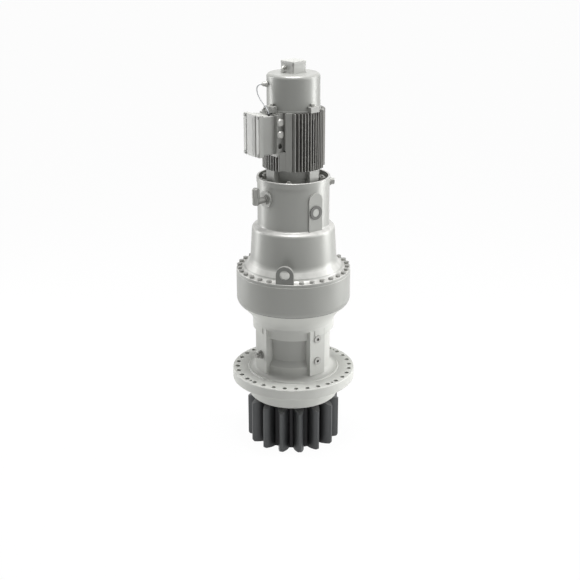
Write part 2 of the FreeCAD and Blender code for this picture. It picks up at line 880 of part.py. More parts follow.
# Motor: lower end shield with flange and four legs
def motor_flange_shield():
    low = bowl_floor_z
    top = low + motor_flange_thick
    hub_low = frame_low_z - bearing_width - 16
    body = revolved(
        (shaft_r + 6, low - motor_spigot_depth),
        (motor_spigot_r, low - motor_spigot_depth),
        (motor_spigot_r, low),
        (motor_flange_r, low),
        (motor_flange_r, top - 2),
        (motor_flange_r - 2, top),
        (shield_r, top),
        (shield_r, frame_low_z),
        (frame_bore_r, frame_low_z),
        (frame_bore_r, frame_low_z + bearing_rib),
        (bearing_r + 8, frame_low_z + bearing_rib),
        (bearing_r, frame_low_z),
        (bearing_r, hub_low),
        (shaft_r + 6, hub_low),
    )
    leg = block(shield_r - 6, leg_r, -leg_width / 2, leg_width / 2, top - 1, frame_low_z)
    cuts = [cylinder(motor_bolt_size / 2 + 1, low - 1, top + 1, motor_bolt_r)]
    return body.fuse(around(leg, 4)).cut(around(cuts[0], 4, corner_clock))


def motor_flange_bolts():
    seat = bowl_floor_z + motor_flange_thick
    bolt = hexagon(motor_bolt_across, seat + 2.5, seat + 12.5).fuse(
        [cylinder(motor_bolt_across * 0.6, seat, seat + 2.5),
         cylinder(motor_bolt_size / 2, bowl_floor_z - bowl_floor_thick + 2, seat + motor_stud_proud)])
    return Part.Compound(around(moved(bolt, motor_bolt_r, 0, 0), 4, corner_clock))


# Motor: finned frame, four groups of parallel fins between four plain corner columns
def side_fins(count):
    """Fins on the +X side, parallel to each other, their tips on the frame's envelope."""
    fins = []
    for i in range(count):
        across = (i - (count - 1) / 2) * fin_pitch
        tip = sqrt(frame_envelope_r ** 2 - across ** 2)
        foot = sqrt(frame_core_r ** 2 - across ** 2) - 3
        fins.append(prism([(foot, across - fin_base / 2), (tip, across - fin_tip / 2), (tip, across + fin_tip / 2),
                           (foot, across + fin_base / 2)], frame_low_z, frame_high_z))
    return fins


def side_entry(shape, height):
    """Puts a feature that points along +Z on the terminal pad's side wall."""
    laid = shape.copy()
    laid.rotate(Vector(0, 0, 0), Vector(1, 0, 0), 90)
    return at_angle(moved(laid, -entry_radius, -frame_pad_width / 2, height), case_clock)


def motor_frame():
    half = frame_pad_width / 2
    pad = block(-frame_pad_face, -frame_core_r + 14, -half, half, box_low_z - 3, frame_pad_high_z)
    column = block(frame_core_r - 3, column_r, -column_width / 2, column_width / 2, frame_low_z, frame_high_z)
    ribs = around(column, 4, 45)
    for side in range(4):
        count = fins_per_side - 2 if side == 2 else fins_per_side
        ribs += [at_angle(fin, 90 * side) for fin in side_fins(count)]
    body = at_angle(cylinder(frame_core_r, frame_low_z, frame_high_z).fuse(ribs + [pad]), case_clock)
    boss = block(frame_core_r - 6, tie_boss_r, -tie_boss_width / 2, tie_boss_width / 2, 0, tie_boss_height)
    body = body.fuse(around(moved(boss, 0, 0, frame_low_z), 4))
    body = body.fuse(around(moved(boss, 0, 0, frame_high_z - tie_boss_height), 4))
    cuts = [cylinder(frame_bore_r, frame_low_z - 1, frame_high_z + 1),
            at_angle(block(-frame_envelope_r - 1, -frame_pad_face, -half, half, box_low_z - 3, frame_pad_high_z),
                     case_clock)]
    cuts += [side_entry(cylinder(entry_thread_r, -entry_depth, 10), z) for z in entry_heights]
    return body.cut(cuts)


def cable_entry_plugs():
    plug = cylinder(entry_thread_r, -entry_depth + 2, 0).fuse(
        revolved((0, 0), (entry_plug_r, 0), (entry_plug_r, 3), (entry_plug_r - 4, entry_plug_head),
                 (0, entry_plug_head)))
    return Part.Compound([side_entry(plug, z) for z in entry_heights[:2]])


def motor_middle_z():
    return (frame_low_z + frame_high_z) / 2


def stator_core():
    return ring(stator_bore_r, frame_bore_r, motor_middle_z() - stator_length / 2,
                motor_middle_z() + stator_length / 2)


def stator_windings():
    inner_r = stator_bore_r + 4
    outer_r = frame_bore_r - 5
    end = motor_middle_z() + stator_length / 2
    half = revolved((inner_r, end), (outer_r, end), (outer_r, end + winding_reach - 7),
                    (outer_r - 7, end + winding_reach), (inner_r, end + winding_reach))
    other = half.mirror(Vector(0, 0, motor_middle_z()), Vector(0, 0, 1))
    return Part.Compound([half, other])


def motor_bearings():
    starts = (frame_low_z - bearing_width, frame_high_z - bearing_rib)
    return Part.Compound([ring(shaft_r + running_gap, bearing_r, z, z + bearing_width) for z in starts])


def brake_face_z():
    return frame_high_z + shield_thick


def rotor_shaft():
    gear_top = input_gear_z + input_gear_face
    journal = input_module * (input_sun_teeth / 2 - 1.25)
    step = bowl_floor_z - motor_spigot_depth - 2
    brake_top = brake_face_z() + brake_disc_thick + armature_thick + 12
    gear = outer_gear(input_module, input_sun_teeth, input_gear_z, gear_top, 180.0 / input_sun_teeth)
    shaft = revolved((0, gear_top - 1), (journal, gear_top - 1), (journal, step), (shaft_r, step + 3),
                     (shaft_r, brake_face_z() - 2), (brake_shaft_r, brake_face_z() - 2),
                     (brake_shaft_r, brake_top), (0, brake_top))
    return gear.fuse(shaft).removeSplitter()


def rotor_core():
    return ring(shaft_r, stator_bore_r - rotor_gap, motor_middle_z() - stator_length / 2,
                motor_middle_z() + stator_length / 2)


# Brake end shield with four lugs and its tie bolts
def brake_end_shield():
    low = frame_high_z
    top = brake_face_z()
    inner = cover_r - cover_wall
    body = revolved(
        (shaft_r + 4, top - 4),
        (shaft_r + 4, top),
        (inner, top),
        (inner, low + shield_foot),
        (shield_foot_r, low + shield_foot),
        (shield_foot_r, low),
        (frame_bore_r, low),
        (frame_bore_r, low - bearing_rib),
        (bearing_r, low - bearing_rib),
        (bearing_r, low - bearing_rib + bearing_width),
        (shaft_r + 4, low - bearing_rib + bearing_width),
    )
    lug = block(cover_r + face_gap, shield_lug_r, -shield_lug_width / 2, shield_lug_width / 2, low, top)
    base = block(cover_r - 2, shield_lug_r, -shield_lug_width / 2, shield_lug_width / 2, low, low + shield_foot)
    rim_room = cylinder(cover_r + face_gap, low + shield_foot, top)
    hole = cylinder(tie_bolt_size / 2 + face_gap, low - 1, top + 1, tie_bolt_r)
    return body.fuse([part.cut(rim_room) for part in around(lug, 4)] + around(base, 4)).cut(around(hole, 4))


def tie_bolts():
    seat = brake_face_z()
    bolt = hexagon(13, seat, seat + 8).fuse(cylinder(tie_bolt_size / 2, seat - shield_thick - 18, seat))
    return Part.Compound(around(moved(bolt, tie_bolt_r, 0, 0), 4))


def brake_cover():
    low = frame_high_z + shield_foot
    inner = cover_r - cover_wall
    under = cover_top_z - cover_wall
    outside = rounded((cover_r, low), (cover_r, cover_top_z), (0, cover_top_z), cover_edge)
    inside = rounded((0, under), (inner, under), (inner, low), cover_edge - cover_wall)
    return revolved((inner, low), (cover_r, low), *outside, (0, cover_top_z), (0, under), *inside).cut(
        on_side(cylinder(cable_r + 3, -20, 5), gland_angle, cover_r, gland_z))


# Spring-applied brake
def guide_pins(low, high, radius):
    return around(cylinder(radius, low, high, guide_pin_circle_r), guide_pin_count, 30)


def brake_disc():
    low = brake_face_z() + face_gap
    return ring(brake_shaft_r, brake_disc_r, low, low + brake_disc_thick)


def armature_low_z():
    return brake_face_z() + brake_disc_thick + 2 * face_gap


def brake_armature():
    low = armature_low_z()
    body = ring(brake_shaft_r + 6, armature_r, low, low + armature_thick)
    return body.cut(guide_pins(low - 1, low + armature_thick + 1, guide_pin_r + face_gap))


def brake_magnet():
    low = armature_low_z() + armature_thick + magnet_gap
    body = revolved((brake_shaft_r + 8, low), (magnet_r, low), (magnet_r, low + magnet_height - 3),
                    (magnet_r - 3, low + magnet_height), (brake_shaft_r + 8, low + magnet_height))
    return body.fuse(guide_pins(brake_face_z(), low + 1, guide_pin_r)).removeSplitter()


# Terminal box: body and ribbed lid with four screws
def box_sides(inset):
    half = box_width / 2 - inset
    return box_shift - half, box_shift + half


def box_piece(near, far, inset):
    """Upright box section on the -X side, its long edges rounded towards the face."""
    low, high = box_sides(inset)
    body = block(-far, -near, low, high, box_low_z + inset, box_high_z - inset)
    edges = [e for e in body.Edges if abs(e.tangentAt(e.FirstParameter).x) > 0.9]
    return body.makeFillet(box_corner, edges)


def terminal_box_body():
    far = box_face - box_lid_thick
    body = box_piece(frame_pad_face, far, box_body_inset)
    low, high = box_sides(0)
    slope = 5
    shoulder = prism([(-far - 1, 0), (-frame_pad_face + 1, 0), (-frame_pad_face + 1, slope), (-far - 1, 0.2)], low, high)
    shoulder.rotate(Vector(0, 0, 0), Vector(1, 0, 0), 90)
    body = body.cut(moved(shoulder, 0, high + low, box_high_z - box_body_inset - slope).mirror(
        Vector(0, 0, box_high_z - box_body_inset - slope / 2), Vector(0, 0, 1)))
    body = at_angle(body, case_clock)
    return body.cut(cylinder(grommet_r - 2, grommet_top_z - 12, grommet_top_z, grommet_x, grommet_y))


def lid_screw_places():
    low, high = box_sides(8)
    return [(y, z) for y in (low, high) for z in (box_low_z + 8, box_high_z - 8)]


def terminal_box_lid():
    body = box_piece(box_face - box_lid_thick, box_face - box_rib, 0)
    low, high = box_sides(0)
    spacing = (high - low) / box_rib_count
    ribs = []
    for i in range(box_rib_count):
        middle = low + spacing * (i + 0.5)
        ribs.append(block(-box_face, -box_face + box_rib + 1, middle - spacing * 0.28, middle + spacing * 0.28,
                          box_low_z + 16, box_high_z - 16))
    cuts = [Part.makeCylinder(box_screw_r, box_lid_thick + 2, Vector(-box_face - 1, y, z), Vector(1, 0, 0))
            for y, z in lid_screw_places()]
    return at_angle(body.fuse(ribs).cut(cuts), case_clock)


def terminal_box_screws():
    screws = []
    for y, z in lid_screw_places():
        face = -box_face + box_rib
        shank = Part.makeCylinder(box_screw_r - 0.5, box_lid_thick - box_rib, Vector(face, y, z), Vector(1, 0, 0))
        head = Part.makeCylinder(box_screw_r + 2, 3, Vector(face - 3, y, z), Vector(1, 0, 0))
        screws.append(at_angle(shank.fuse(head), case_clock))
    return Part.Compound(screws)


def cable_grommet():
    flange = grommet_top_z - 2.5
    body = cylinder(grommet_r - 2, grommet_top_z - 12, flange + 0.5, grommet_x, grommet_y)
    return body.fuse(cylinder(grommet_r, flange, grommet_top_z, grommet_x, grommet_y))


# Small box on the cover
def top_box():
    x, y = top_box_x / 2, top_box_y / 2
    body = round_box(-x, x, -y, y, cover_top_z, top_box_top_z - top_box_lid, top_box_corner)
    foot = round_box(-x - 2, x + 2, -y - 2, y + 2, cover_top_z, cover_top_z + top_box_foot, top_box_corner + 2)
    return body.fuse(foot)


def top_box_cover():
    x, y = top_box_x / 2 + 0.8, top_box_y / 2 + 0.8
    body = round_box(-x, x, -y, y, top_box_top_z - top_box_lid, top_box_top_z, top_box_corner)
    rim = [e for e in body.Edges if min(v.Z for v in e.Vertexes) > top_box_top_z - 0.1]
    return body.makeChamfer(1.5, rim)


def gland(length, across):
    """Cable gland that points along +Z: hexagon foot and domed nut."""
    foot = hexagon(across, 0, length * 0.38)
    nut = revolved((0, length * 0.38), (across * 0.46, length * 0.38), (across * 0.46, length * 0.72),
                   (across * 0.24, length), (0, length))
    return foot.fuse(nut)


def cable_glands():
    small = moved(on_side(gland(15, 14), 180, top_box_x / 2, top_gland_z), 0, top_gland_y, 0)
    large = gland(gland_length, gland_across).fuse(cylinder(cable_r + 2.9, -2 * cover_wall, 1))
    return Part.Compound([small, on_side(large, gland_angle, cover_r + face_gap, gland_z)])


# Brake cable: straight runs joined by tangent arcs as large as the runs allow
def brake_cable():
    points = [Vector(*p) for p in cable_route]
    edges = []
    radii = []
    here = points[0]
    for before, corner, after in zip(points, points[1:], points[2:]):
        back = (before - corner).normalize()
        ahead = (after - corner).normalize()
        half_turn = (pi - back.getAngle(ahead)) / 2
        cut = 0.45 * min((before - corner).Length, (after - corner).Length)
        radius = cut / tan(half_turn)
        way = (back + ahead).normalize()
        start = corner + back * cut
        end = corner + ahead * cut
        middle = corner + way * (radius / cos(half_turn) - radius)
        edges.append(Part.LineSegment(here, start).toShape())
        edges.append(Part.Arc(start, middle, end).toShape())
        radii.append(round(radius, 1))
        here = end
    edges.append(Part.LineSegment(here, points[-1]).toShape())
    wire = Part.Wire(edges)
    section = Part.Wire(Part.makeCircle(cable_r, points[0], points[1] - points[0]))
    tube = wire.makePipeShell([section], True, False)
    print("brake cable length", round(wire.Length, 1), "radii", radii)
    print("volume", round(tube.Volume, 1), "of", round(pi * cable_r ** 2 * wire.Length, 1))
    return tube


# Save every piece
def save(name, shape):
    shape.exportStep("parts/" + name + ".step")


os.makedirs("parts", exist_ok=True)
lower_cup, lower_cone = taper_bearing(lower_shaft_r, lower_seat_r, lower_seat_top_z - lower_bearing_width,
                                      lower_bearing_width, False)
upper_cup, upper_cone = taper_bearing(upper_shaft_r, upper_seat_r, upper_seat_low_z, upper_bearing_width, True)
save("mounting_housing", mounting_housing())
save("oil_plugs", oil_plugs())
save("drain_fitting", drain_fitting())
save("seal_carrier", seal_carrier())
save("shaft_seal", shaft_seal())
save("lower_bearing_cup", lower_cup)
save("lower_bearing_cone", lower_cone)
save("upper_bearing_cup", upper_cup)
save("upper_bearing_cone", upper_cone)
save("pinion_shaft", pinion_shaft())
save("ring_gear_case", ring_case())
save("case_joint_screws", joint_screws())
save("bell_housing", bell_housing())
save("bell_bolts", bell_bolts())
save("lifting_lugs", lifting_lugs())
save("sight_glass_ring", sight_glass_ring())
save("sight_glass", sight_glass())
save("breather_elbow", breather_elbow())
save("breather_cap", breather_cap())
save("oil_filler_plug", oil_filler_plug())
save("output_carrier", output_carrier())
save("output_planet_pins", output_planet_pins())
save("output_sun_shaft", sun_shaft(output_module, output_sun_teeth, output_gear_z - 2, output_gear_face + 4,
                                   output_sun_shaft_r, middle_gear_z - carrier_gap))
save("middle_carrier", stage_carrier(middle_module, middle_sun_teeth, middle_planet_teeth, middle_gear_z,
                                     middle_pin_r, middle_gear_face, output_sun_shaft_r))
save("middle_ring_gear", pressed_ring_gear(middle_module, middle_ring_teeth, middle_planet_teeth, middle_gear_z,
                                           middle_gear_face, middle_ring_r))
save("middle_sun_shaft", sun_shaft(middle_module, middle_sun_teeth, middle_gear_z, middle_gear_face,
                                   middle_sun_shaft_r, input_gear_z - carrier_gap))
save("input_carrier", stage_carrier(input_module, input_sun_teeth, input_planet_teeth, input_gear_z,
                                    input_pin_r, input_gear_face, middle_sun_shaft_r))
save("input_ring_gear", pressed_ring_gear(input_module, input_ring_teeth, input_planet_teeth, input_gear_z,
                                          input_gear_face, input_ring_r))
for stage, module, sun, teeth, low, face, pin in (
        ("output", output_module, output_sun_teeth, output_planet_teeth, output_gear_z, output_gear_face,
         output_pin_r),
        ("middle", middle_module, middle_sun_teeth, middle_planet_teeth, middle_gear_z, middle_gear_face,
         middle_pin_r),
        ("input", input_module, input_sun_teeth, input_planet_teeth, input_gear_z, input_gear_face, input_pin_r)):
    for number, place in enumerate(planet_places(module, sun, teeth), 1):
        save(stage + "_planet_" + str(number), planet(module, teeth, low, face, pin, place))
save("motor_flange_shield", motor_flange_shield())
save("motor_flange_bolts", motor_flange_bolts())
save("motor_frame", motor_frame())
save("cable_entry_plugs", cable_entry_plugs())
save("stator_core", stator_core())
save("stator_windings", stator_windings())
save("motor_bearings", motor_bearings())
save("rotor_shaft", rotor_shaft())
save("rotor_core", rotor_core())
save("brake_end_shield", brake_end_shield())
save("tie_bolts", tie_bolts())
save("brake_cover", brake_cover())
save("brake_disc", brake_disc())
save("brake_armature", brake_armature())
save("brake_magnet", brake_magnet())
save("terminal_box_body", terminal_box_body())
save("terminal_box_lid", terminal_box_lid())
save("terminal_box_screws", terminal_box_screws())
save("cable_grommet", cable_grommet())
save("top_box", top_box())
save("top_box_lid", top_box_cover())
save("cable_glands", cable_glands())
save("brake_cable", brake_cable())
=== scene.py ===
import bpy, bmesh
from math import cos, pi, radians, sin
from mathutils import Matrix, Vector


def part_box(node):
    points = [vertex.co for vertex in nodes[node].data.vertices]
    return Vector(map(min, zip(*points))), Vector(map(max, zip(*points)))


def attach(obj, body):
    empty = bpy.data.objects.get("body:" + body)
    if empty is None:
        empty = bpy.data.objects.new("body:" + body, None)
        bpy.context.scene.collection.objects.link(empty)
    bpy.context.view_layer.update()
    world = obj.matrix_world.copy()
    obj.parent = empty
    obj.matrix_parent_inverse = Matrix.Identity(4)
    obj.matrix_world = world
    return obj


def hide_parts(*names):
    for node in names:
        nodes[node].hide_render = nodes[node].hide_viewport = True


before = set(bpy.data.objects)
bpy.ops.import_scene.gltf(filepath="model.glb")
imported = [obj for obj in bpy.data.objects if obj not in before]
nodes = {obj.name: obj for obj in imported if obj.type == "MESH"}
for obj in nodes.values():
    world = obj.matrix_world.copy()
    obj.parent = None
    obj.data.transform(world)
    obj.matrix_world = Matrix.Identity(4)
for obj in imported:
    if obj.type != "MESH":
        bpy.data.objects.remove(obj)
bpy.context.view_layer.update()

# Mounting housing
# A grey iron casting under matt paint, turned on the flange and the spigot, and bolted to the
# nacelle through the flange. The windows between the pads of its hub lie in shade.


def new_tree(name, kind, inputs, outputs):
    """Node group with named sockets, returned with its input and output nodes."""
    tree = bpy.data.node_groups.new(name, kind)
    for label, socket, value in inputs:
        tree.interface.new_socket(label, in_out="INPUT", socket_type=socket).default_value = value
    for label, socket in outputs:
        tree.interface.new_socket(label, in_out="OUTPUT", socket_type=socket)
    return tree, tree.nodes.new("NodeGroupInput"), tree.nodes.new("NodeGroupOutput")


def feed(tree, socket, value):
    """Link the socket to another node's output, or set it to a constant."""
    if isinstance(value, bpy.types.NodeSocket):
        tree.links.new(value, socket)
    else:
        socket.default_value = value


def calculate(tree, operation, *values, clamp=False):
    """Math node fed with links or constants."""
    node = tree.nodes.new("ShaderNodeMath")
    node.operation = operation
    node.use_clamp = clamp
    for socket, value in zip(node.inputs, values):
        feed(tree, socket, value)
    return node.outputs[0]


def blended(tree, factor, first, second, mode="MIX"):
    node = tree.nodes.new("ShaderNodeMix")
    node.data_type = "RGBA"
    node.blend_type = mode
    sockets = {socket.identifier: socket for socket in node.inputs}
    for label, value in (("Factor_Float", factor), ("A_Color", first), ("B_Color", second)):
        feed(tree, sockets[label], value)
    return next(socket for socket in node.outputs if socket.identifier == "Result_Color")


def noise(tree, place, scale, detail):
    node = tree.nodes.new("ShaderNodeTexNoise")
    for label, value in (("Vector", place), ("Scale", scale), ("Detail", detail)):
        feed(tree, node.inputs[label], value)
    return node.outputs["Fac"]


def object_place(tree):
    return tree.nodes.new("ShaderNodeTexCoord").outputs["Object"]


def split(tree, vector):
    """The vector's x, y and z."""
    node = tree.nodes.new("ShaderNodeSeparateXYZ")
    feed(tree, node.inputs[0], vector)
    return node.outputs


def placed_group(tree, group, settings):
    node = tree.nodes.new("ShaderNodeGroup")
    node.node_tree = group
    for label, value in settings.items():
        feed(tree, node.inputs[label], value)
    return node.outputs


# Spray paint or bare skin: slow patches of tone, a fine grain, and a sheen that wanders
patch_scale, patch_detail, grain_detail, sheen_wander = 9.0, 5.0, 2.0, 0.22
skin, skin_in, skin_out = new_tree(
    "skin", "ShaderNodeTree",
    [("Colour", "NodeSocketColor", (0.5, 0.5, 0.5, 1)), ("Roughness", "NodeSocketFloat", 0.5),
     ("Grain scale", "NodeSocketFloat", 500.0), ("Mottle", "NodeSocketFloat", 0.1)],
    [("Colour", "NodeSocketColor"), ("Roughness", "NodeSocketFloat"),
     ("Height", "NodeSocketFloat")])
skin_place = object_place(skin)
patches = noise(skin, skin_place, patch_scale, patch_detail)
grain = noise(skin, skin_place, skin_in.outputs["Grain scale"], grain_detail)
patch_swing = calculate(skin, "SUBTRACT", patches, 0.5)
grain_swing = calculate(skin, "SUBTRACT", grain, 0.5)
tone = calculate(skin, "MULTIPLY_ADD", patch_swing, skin_in.outputs["Mottle"], 1.0)
tone = calculate(skin, "MULTIPLY_ADD", grain_swing, skin_in.outputs["Mottle"], tone)
lightness = skin.nodes.new("ShaderNodeCombineColor")
for channel in lightness.inputs:
    feed(skin, channel, tone)
feed(skin, skin_out.inputs["Colour"],
     blended(skin, 1.0, skin_in.outputs["Colour"], lightness.outputs[0], "MULTIPLY"))
feed(skin, skin_out.inputs["Roughness"],
     calculate(skin, "MULTIPLY_ADD", patch_swing, sheen_wander, skin_in.outputs["Roughness"]))
feed(skin, skin_out.inputs["Height"], grain)

# Depth of a recess, where painted shade is laid: 1 at the inner radius from the drive's axis, 0 at
# the outer one
recess, recess_in, recess_out = new_tree(
    "recess", "ShaderNodeTree",
    [("Inner radius", "NodeSocketFloat", 0.1), ("Outer radius", "NodeSocketFloat", 0.2)],
    [("Mask", "NodeSocketFloat")])
recess_x, recess_y = split(recess, object_place(recess))[:2]
radius_squared = calculate(recess, "ADD", calculate(recess, "MULTIPLY", recess_x, recess_x),
                           calculate(recess, "MULTIPLY", recess_y, recess_y))
ramp = recess.nodes.new("ShaderNodeMapRange")
feed(recess, ramp.inputs["Value"], calculate(recess, "SQRT", radius_squared))
feed(recess, ramp.inputs["From Min"], recess_in.outputs["Outer radius"])
feed(recess, ramp.inputs["From Max"], recess_in.outputs["Inner radius"])
feed(recess, recess_out.inputs["Mask"], ramp.outputs[0])

# Thin dark line where two machined faces meet, at one height all round
seam, seam_in, seam_out = new_tree(
    "parting line", "ShaderNodeTree",
    [("Height", "NodeSocketFloat", 0.3), ("Half width", "NodeSocketFloat", 0.001)],
    [("Mask", "NodeSocketFloat")])
seam_z = split(seam, object_place(seam))[2]
above_line = calculate(seam, "SUBTRACT", seam_z, seam_in.outputs["Height"])
off_line = calculate(seam, "ABSOLUTE", above_line)
feed(seam, seam_out.inputs["Mask"],
     calculate(seam, "LESS_THAN", off_line, seam_in.outputs["Half width"]))

# Fine dust on ledges together with painted top light: none where a face is steeper than the first
# slope, paler as it faces up
first_slope, slope_gain, drift_scale, drift_detail = 0.35, 2.2, 38.0, 6.0
dust_and_top_light, dust_and_top_light_in, dust_and_top_light_out = new_tree(
    "ledge dust and painted top light", "ShaderNodeTree",
    [("Amount", "NodeSocketFloat", 0.3)], [("Mask", "NodeSocketFloat")])
upward = split(dust_and_top_light, dust_and_top_light.nodes.new("ShaderNodeNewGeometry").outputs["Normal"])[2]
facing = calculate(dust_and_top_light, "MULTIPLY", calculate(dust_and_top_light, "SUBTRACT", upward, first_slope), slope_gain,
                   clamp=True)
drift = noise(dust_and_top_light, object_place(dust_and_top_light), drift_scale, drift_detail)
settled = calculate(dust_and_top_light, "MULTIPLY", facing, drift)
feed(dust_and_top_light, dust_and_top_light_out.inputs["Mask"],
     calculate(dust_and_top_light, "MULTIPLY", settled, dust_and_top_light_in.outputs["Amount"], clamp=True))
# Paler tone laid by this mask: settled dust, and painted top light on faces that look up
dust_and_top_light_tone = (0.72, 0.71, 0.69)
bump_strength = 0.5


def finish(name, colour, roughness, metallic, grain_scale, depth, mottle, layers=()):
    """Procedural finish; a layer is a mask group, its inputs, and the colour laid over the skin."""
    material = bpy.data.materials.new(name)
    material.use_nodes = True
    tree = material.node_tree
    shader = tree.nodes["Principled BSDF"]
    shader.inputs["Metallic"].default_value = metallic
    surface = placed_group(tree, skin, {"Colour": (*colour, 1), "Roughness": roughness,
                                        "Grain scale": grain_scale, "Mottle": mottle})
    shown = surface["Colour"]
    for mask_tree, settings, layer_colour in layers:
        mask = placed_group(tree, mask_tree, settings)["Mask"]
        shown = blended(tree, mask, shown, (*layer_colour, 1))
    feed(tree, shader.inputs["Base Color"], shown)
    feed(tree, shader.inputs["Roughness"], surface["Roughness"])
    bump = tree.nodes.new("ShaderNodeBump")
    bump.inputs["Strength"].default_value = bump_strength
    bump.inputs["Distance"].default_value = depth
    feed(tree, bump.inputs["Height"], surface["Height"])
    feed(tree, shader.inputs["Normal"], bump.outputs["Normal"])
    return material


def dress(material, *names):
    """Give the CAD nodes of these names one material."""
    for name in names:
        mesh = nodes[name].data
        mesh.materials.clear()
        mesh.materials.append(material)


case_seam = (seam, {"Height": 0.32, "Half width": 0.0011}, (0.05, 0.05, 0.048))
window_shade = (recess, {"Inner radius": 0.128, "Outer radius": 0.141}, (0.38, 0.384, 0.362))
housing_paint = finish(
    "matt housing paint", colour=(0.52, 0.526, 0.497), roughness=0.5, metallic=0.0,
    grain_scale=380.0, depth=0.0003, mottle=0.08,
    layers=(window_shade, (dust_and_top_light, {"Amount": 0.2}, dust_and_top_light_tone), case_seam))
dress(housing_paint, "mounting_housing")

# Screw plugs, tie bolts and glands
# Turned and headed steel with a thin zinc coat that has dulled and clouds into patches. All are
# screwed into tapped holes of the castings.
zinc = finish("dull zinc", colour=(0.42, 0.42, 0.4), roughness=0.38, metallic=0.5,
              grain_scale=900.0, depth=0.0001, mottle=0.3)
dress(zinc, "oil_plugs", "motor_flange_bolts", "tie_bolts", "cable_entry_plugs", "cable_glands")

# Bell bolts, drain fitting, breather and filler plug
# Forged hexagons and turned fittings with an older, darker coat than the plugs have. The bolts
# clamp the bell housing on the ring gear case, and the fittings are screwed in.
dull_steel = finish("dull bolt steel", colour=(0.29, 0.29, 0.275), roughness=0.42, metallic=0.4,
                    grain_scale=900.0, depth=0.0001, mottle=0.3)
dress(dull_steel, "bell_bolts", "drain_fitting", "case_joint_screws", "breather_elbow",
      "breather_cap", "oil_filler_plug")

# Output pinion and its shaft
# One forging, hobbed and hardened, with a dark phosphate coat, and carried by two taper roller
# bearings in the housing. The tooth gaps are painted nearly black towards the root, as painted
# shade.
# Painted shade: nearly black deep in the tooth gaps, fading out towards the crests
tooth_gap_shade = (recess, {"Inner radius": 0.135, "Outer radius": 0.172}, (0.012, 0.012, 0.013))
phosphate = finish(
    "phosphated steel", colour=(0.085, 0.088, 0.09), roughness=0.42, metallic=0.55,
    grain_scale=700.0, depth=0.0002, mottle=0.35,
    layers=(tooth_gap_shade, (dust_and_top_light, {"Amount": 0.12}, dust_and_top_light_tone)))
dress(phosphate, "pinion_shaft")

# Ring gear case and bell housing
# Turned castings under a satin silver coat, with slopes that face up painted much paler, as dust
# and as painted top light. Screws from inside hold the case to the housing; a thin dark line parts
# the two.
# Painted top light: the strong dust layer makes faces that look up much paler
silver = finish(
    "satin silver paint", colour=(0.32, 0.324, 0.305), roughness=0.4, metallic=0.2,
    grain_scale=650.0, depth=0.0001, mottle=0.08,
    layers=((dust_and_top_light, {"Amount": 0.9}, dust_and_top_light_tone), case_seam))
dress(silver, "ring_gear_case", "bell_housing")

# Lifting lugs
# Two plates cut from thick sheet, each with a round eye, and painted darker than the castings.
# They stand on the bell's flange, on either side.
lug_paint = finish("lug paint", colour=(0.2, 0.203, 0.19), roughness=0.45, metallic=0.05,
                   grain_scale=420.0, depth=0.0002, mottle=0.14,
                   layers=((dust_and_top_light, {"Amount": 0.2}, dust_and_top_light_tone),))
dress(lug_paint, "lifting_lugs")

# Sight glass
# A thick pressed disc in a darkened steel ring, so that the oil's level shows. The oil behind it
# makes it a soft mid-grey.
glass = bpy.data.materials.new("sight glass")
glass.use_nodes = True
glass_shader = glass.node_tree.nodes["Principled BSDF"]
glass_shader.inputs["Roughness"].default_value = 0.12
glass_shader.inputs["Coat Weight"].default_value = 0.6
oil_settings = {"Colour": (0.45, 0.455, 0.43, 1), "Grain scale": 60.0}
oil_tone = placed_group(glass.node_tree, skin, oil_settings)
feed(glass.node_tree, glass_shader.inputs["Base Color"], oil_tone["Colour"])
dress(glass, "sight_glass")
dark_steel = finish("darkened steel", colour=(0.13, 0.13, 0.124), roughness=0.4, metallic=0.4,
                    grain_scale=900.0, depth=0.0001, mottle=0.25)
dress(dark_steel, "sight_glass_ring")

# Motor frame
# Die-cast aluminium in the silver coat, and clamped between its two end shields. Its long parallel
# fins catch light on their tips only; the field of fins is painted darker as shade, and the floors
# between them nearly black as painted shade. The corners and the terminal box's pad are plain and
# keep the paler coat.
motor_clock = radians(-5.625)

# Where there are no fins, in the motor's own directions: outside the field of fins, on the pad
# behind the terminal box, and on the wall beside the cable entries
fin_field, pad_height, pad_face = 0.0665, 0.8995, 0.085
entry_wall, entry_side = -0.048, -0.06
plain, plain_in, plain_out = new_tree(
    "plain corners and pad", "ShaderNodeTree",
    [("Fin field", "NodeSocketFloat", fin_field), ("Pad height", "NodeSocketFloat", pad_height),
     ("Pad face", "NodeSocketFloat", pad_face), ("Entry wall", "NodeSocketFloat", entry_wall)],
    [("Mask", "NodeSocketFloat")])
turned = plain.nodes.new("ShaderNodeMapping")
turned.inputs["Rotation"].default_value = (0, 0, -motor_clock)
feed(plain, turned.inputs["Vector"], object_place(plain))
plain_x, plain_y, plain_z = split(plain, turned.outputs[0])
nearest = calculate(plain, "MINIMUM", calculate(plain, "ABSOLUTE", plain_x),
                    calculate(plain, "ABSOLUTE", plain_y))
at_corner = calculate(plain, "GREATER_THAN", nearest, plain_in.outputs["Fin field"])
beside_entries = calculate(plain, "MULTIPLY", calculate(plain, "LESS_THAN", plain_x, entry_side),
                           calculate(plain, "LESS_THAN", plain_y, plain_in.outputs["Entry wall"]))
pad_depth = calculate(plain, "MULTIPLY", plain_x, -1.0)
on_pad = calculate(plain, "MULTIPLY",
                   calculate(plain, "GREATER_THAN", plain_z, plain_in.outputs["Pad height"]),
                   calculate(plain, "GREATER_THAN", pad_depth, plain_in.outputs["Pad face"]))
feed(plain, plain_out.inputs["Mask"],
     calculate(plain, "MAXIMUM", calculate(plain, "MAXIMUM", at_corner, beside_entries), on_pad))
corner_tone = (0.26, 0.262, 0.247)
